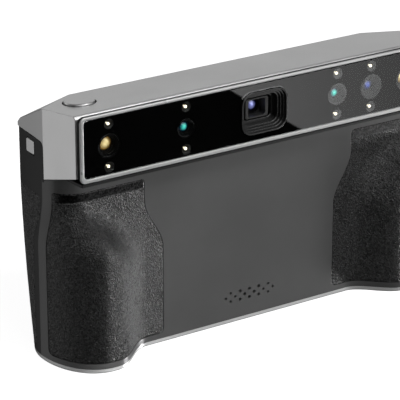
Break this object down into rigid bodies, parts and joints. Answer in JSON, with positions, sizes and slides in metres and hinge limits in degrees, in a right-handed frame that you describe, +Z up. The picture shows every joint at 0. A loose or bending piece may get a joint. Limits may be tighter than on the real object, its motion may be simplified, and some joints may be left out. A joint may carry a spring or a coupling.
{
  "type": "handheld scanner",
  "caption": "Handheld 3-D scanner: a silver head with a camera window, two rubber grips, a scan button and a flip-up display on its back.",
  "frame": {"origin": "centre of the box of the scanner with its display closed, at the level of its bottom face", "axes": "+X along the head, to the right as seen from the front; -Y the way the cameras look; +Z up"},
  "size_m": [0.1766, 0.0505, 0.1046],
  "materials": {
    "silver_paint": "satin",
    "bezel_silver": "satin",
    "base_silver": "satin",
    "shell_grey": "satin metallic",
    "shell_dark": "fine satin",
    "black_plastic": "satin",
    "window_glass": "polished",
    "grip_rubber": "grained",
    "lens_amber": "coated",
    "lens_teal": "coated",
    "lens_blue": "coated",
    "circuit_board": "solder mask",
    "led_white": "gloss",
    "bench_aluminium": "machined",
    "cell_wrap": "wrapped",
    "screen_panel": "gloss",
    "steel": "satin",
    "brass": "turned",
    "antenna_film": "film"
  },
  "bodies": {
    "scanner": {"head_housing": "silver_paint", "bezel_carrier": "black_plastic", "front_bezel": "bezel_silver", "front_glass": "window_glass", "window_mask": "black_plastic", "front_shell": "shell_grey", "rear_shell": "shell_dark", "bottom_plate": "base_silver", "grip_pad_left": "grip_rubber", "grip_pad_right": "grip_rubber", "side_pad_left": "grip_rubber", "side_pad_right": "grip_rubber", "projector_hood": "black_plastic", "projector_module": "black_plastic", "projector_lens": "lens_blue", "far_camera_left": "black_plastic", "far_camera_right": "black_plastic", "near_camera_left": "black_plastic", "near_camera_right": "black_plastic", "rgb_camera": "black_plastic", "far_lens_left": "lens_amber", "far_lens_right": "lens_amber", "near_lens_left": "lens_teal", "near_lens_right": "lens_teal", "rgb_lens": "lens_blue", "led_board": "circuit_board", "fill_leds": "led_white", "optical_bench": "bench_aluminium", "bench_screws": "steel", "main_board": "circuit_board", "board_chips": "black_plastic", "heat_spreader": "bench_aluminium", "battery_left": "cell_wrap", "battery_right": "cell_wrap", "battery_cradles": "black_plastic", "speaker": "black_plastic", "speaker_mesh": "steel", "usb_socket": "steel", "wifi_antenna": "antenna_film", "tripod_insert": "brass", "case_screws": "steel", "base_screws": "steel", "bracket_screws": "steel", "scan_switch": "black_plastic", "power_switch": "black_plastic", "hinge_bracket_left": "steel", "hinge_bracket_right": "steel"},
    "scan_button": {"scan_button": "silver_paint"},
    "power_button": {"power_button": "silver_paint"},
    "display": {"display_housing": "shell_dark", "display_bezel": "black_plastic", "display_panel": "screen_panel", "display_glass": "window_glass", "display_board": "circuit_board", "hinge_pins": "steel"}
  },
  "joints": [
    {"name": "scan_press", "type": "slide", "parent": "scanner", "child": "scan_button", "axis": [0, -0.0896, -0.996], "range_m": [0, 0.0008], "stiffness_N_per_m": 2000, "springref_m": -0.0005},
    {"name": "power_press", "type": "slide", "parent": "scanner", "child": "power_button", "axis": [1, 0, 0], "range_m": [0, 0.0005], "stiffness_N_per_m": 2000, "springref_m": -0.0005},
    {"name": "display_flip", "type": "hinge", "parent": "scanner", "child": "display", "pos_m": [0, 0.021, 0.0905], "axis": [1, 0, 0], "range_deg": [0, 180]}
  ]
}
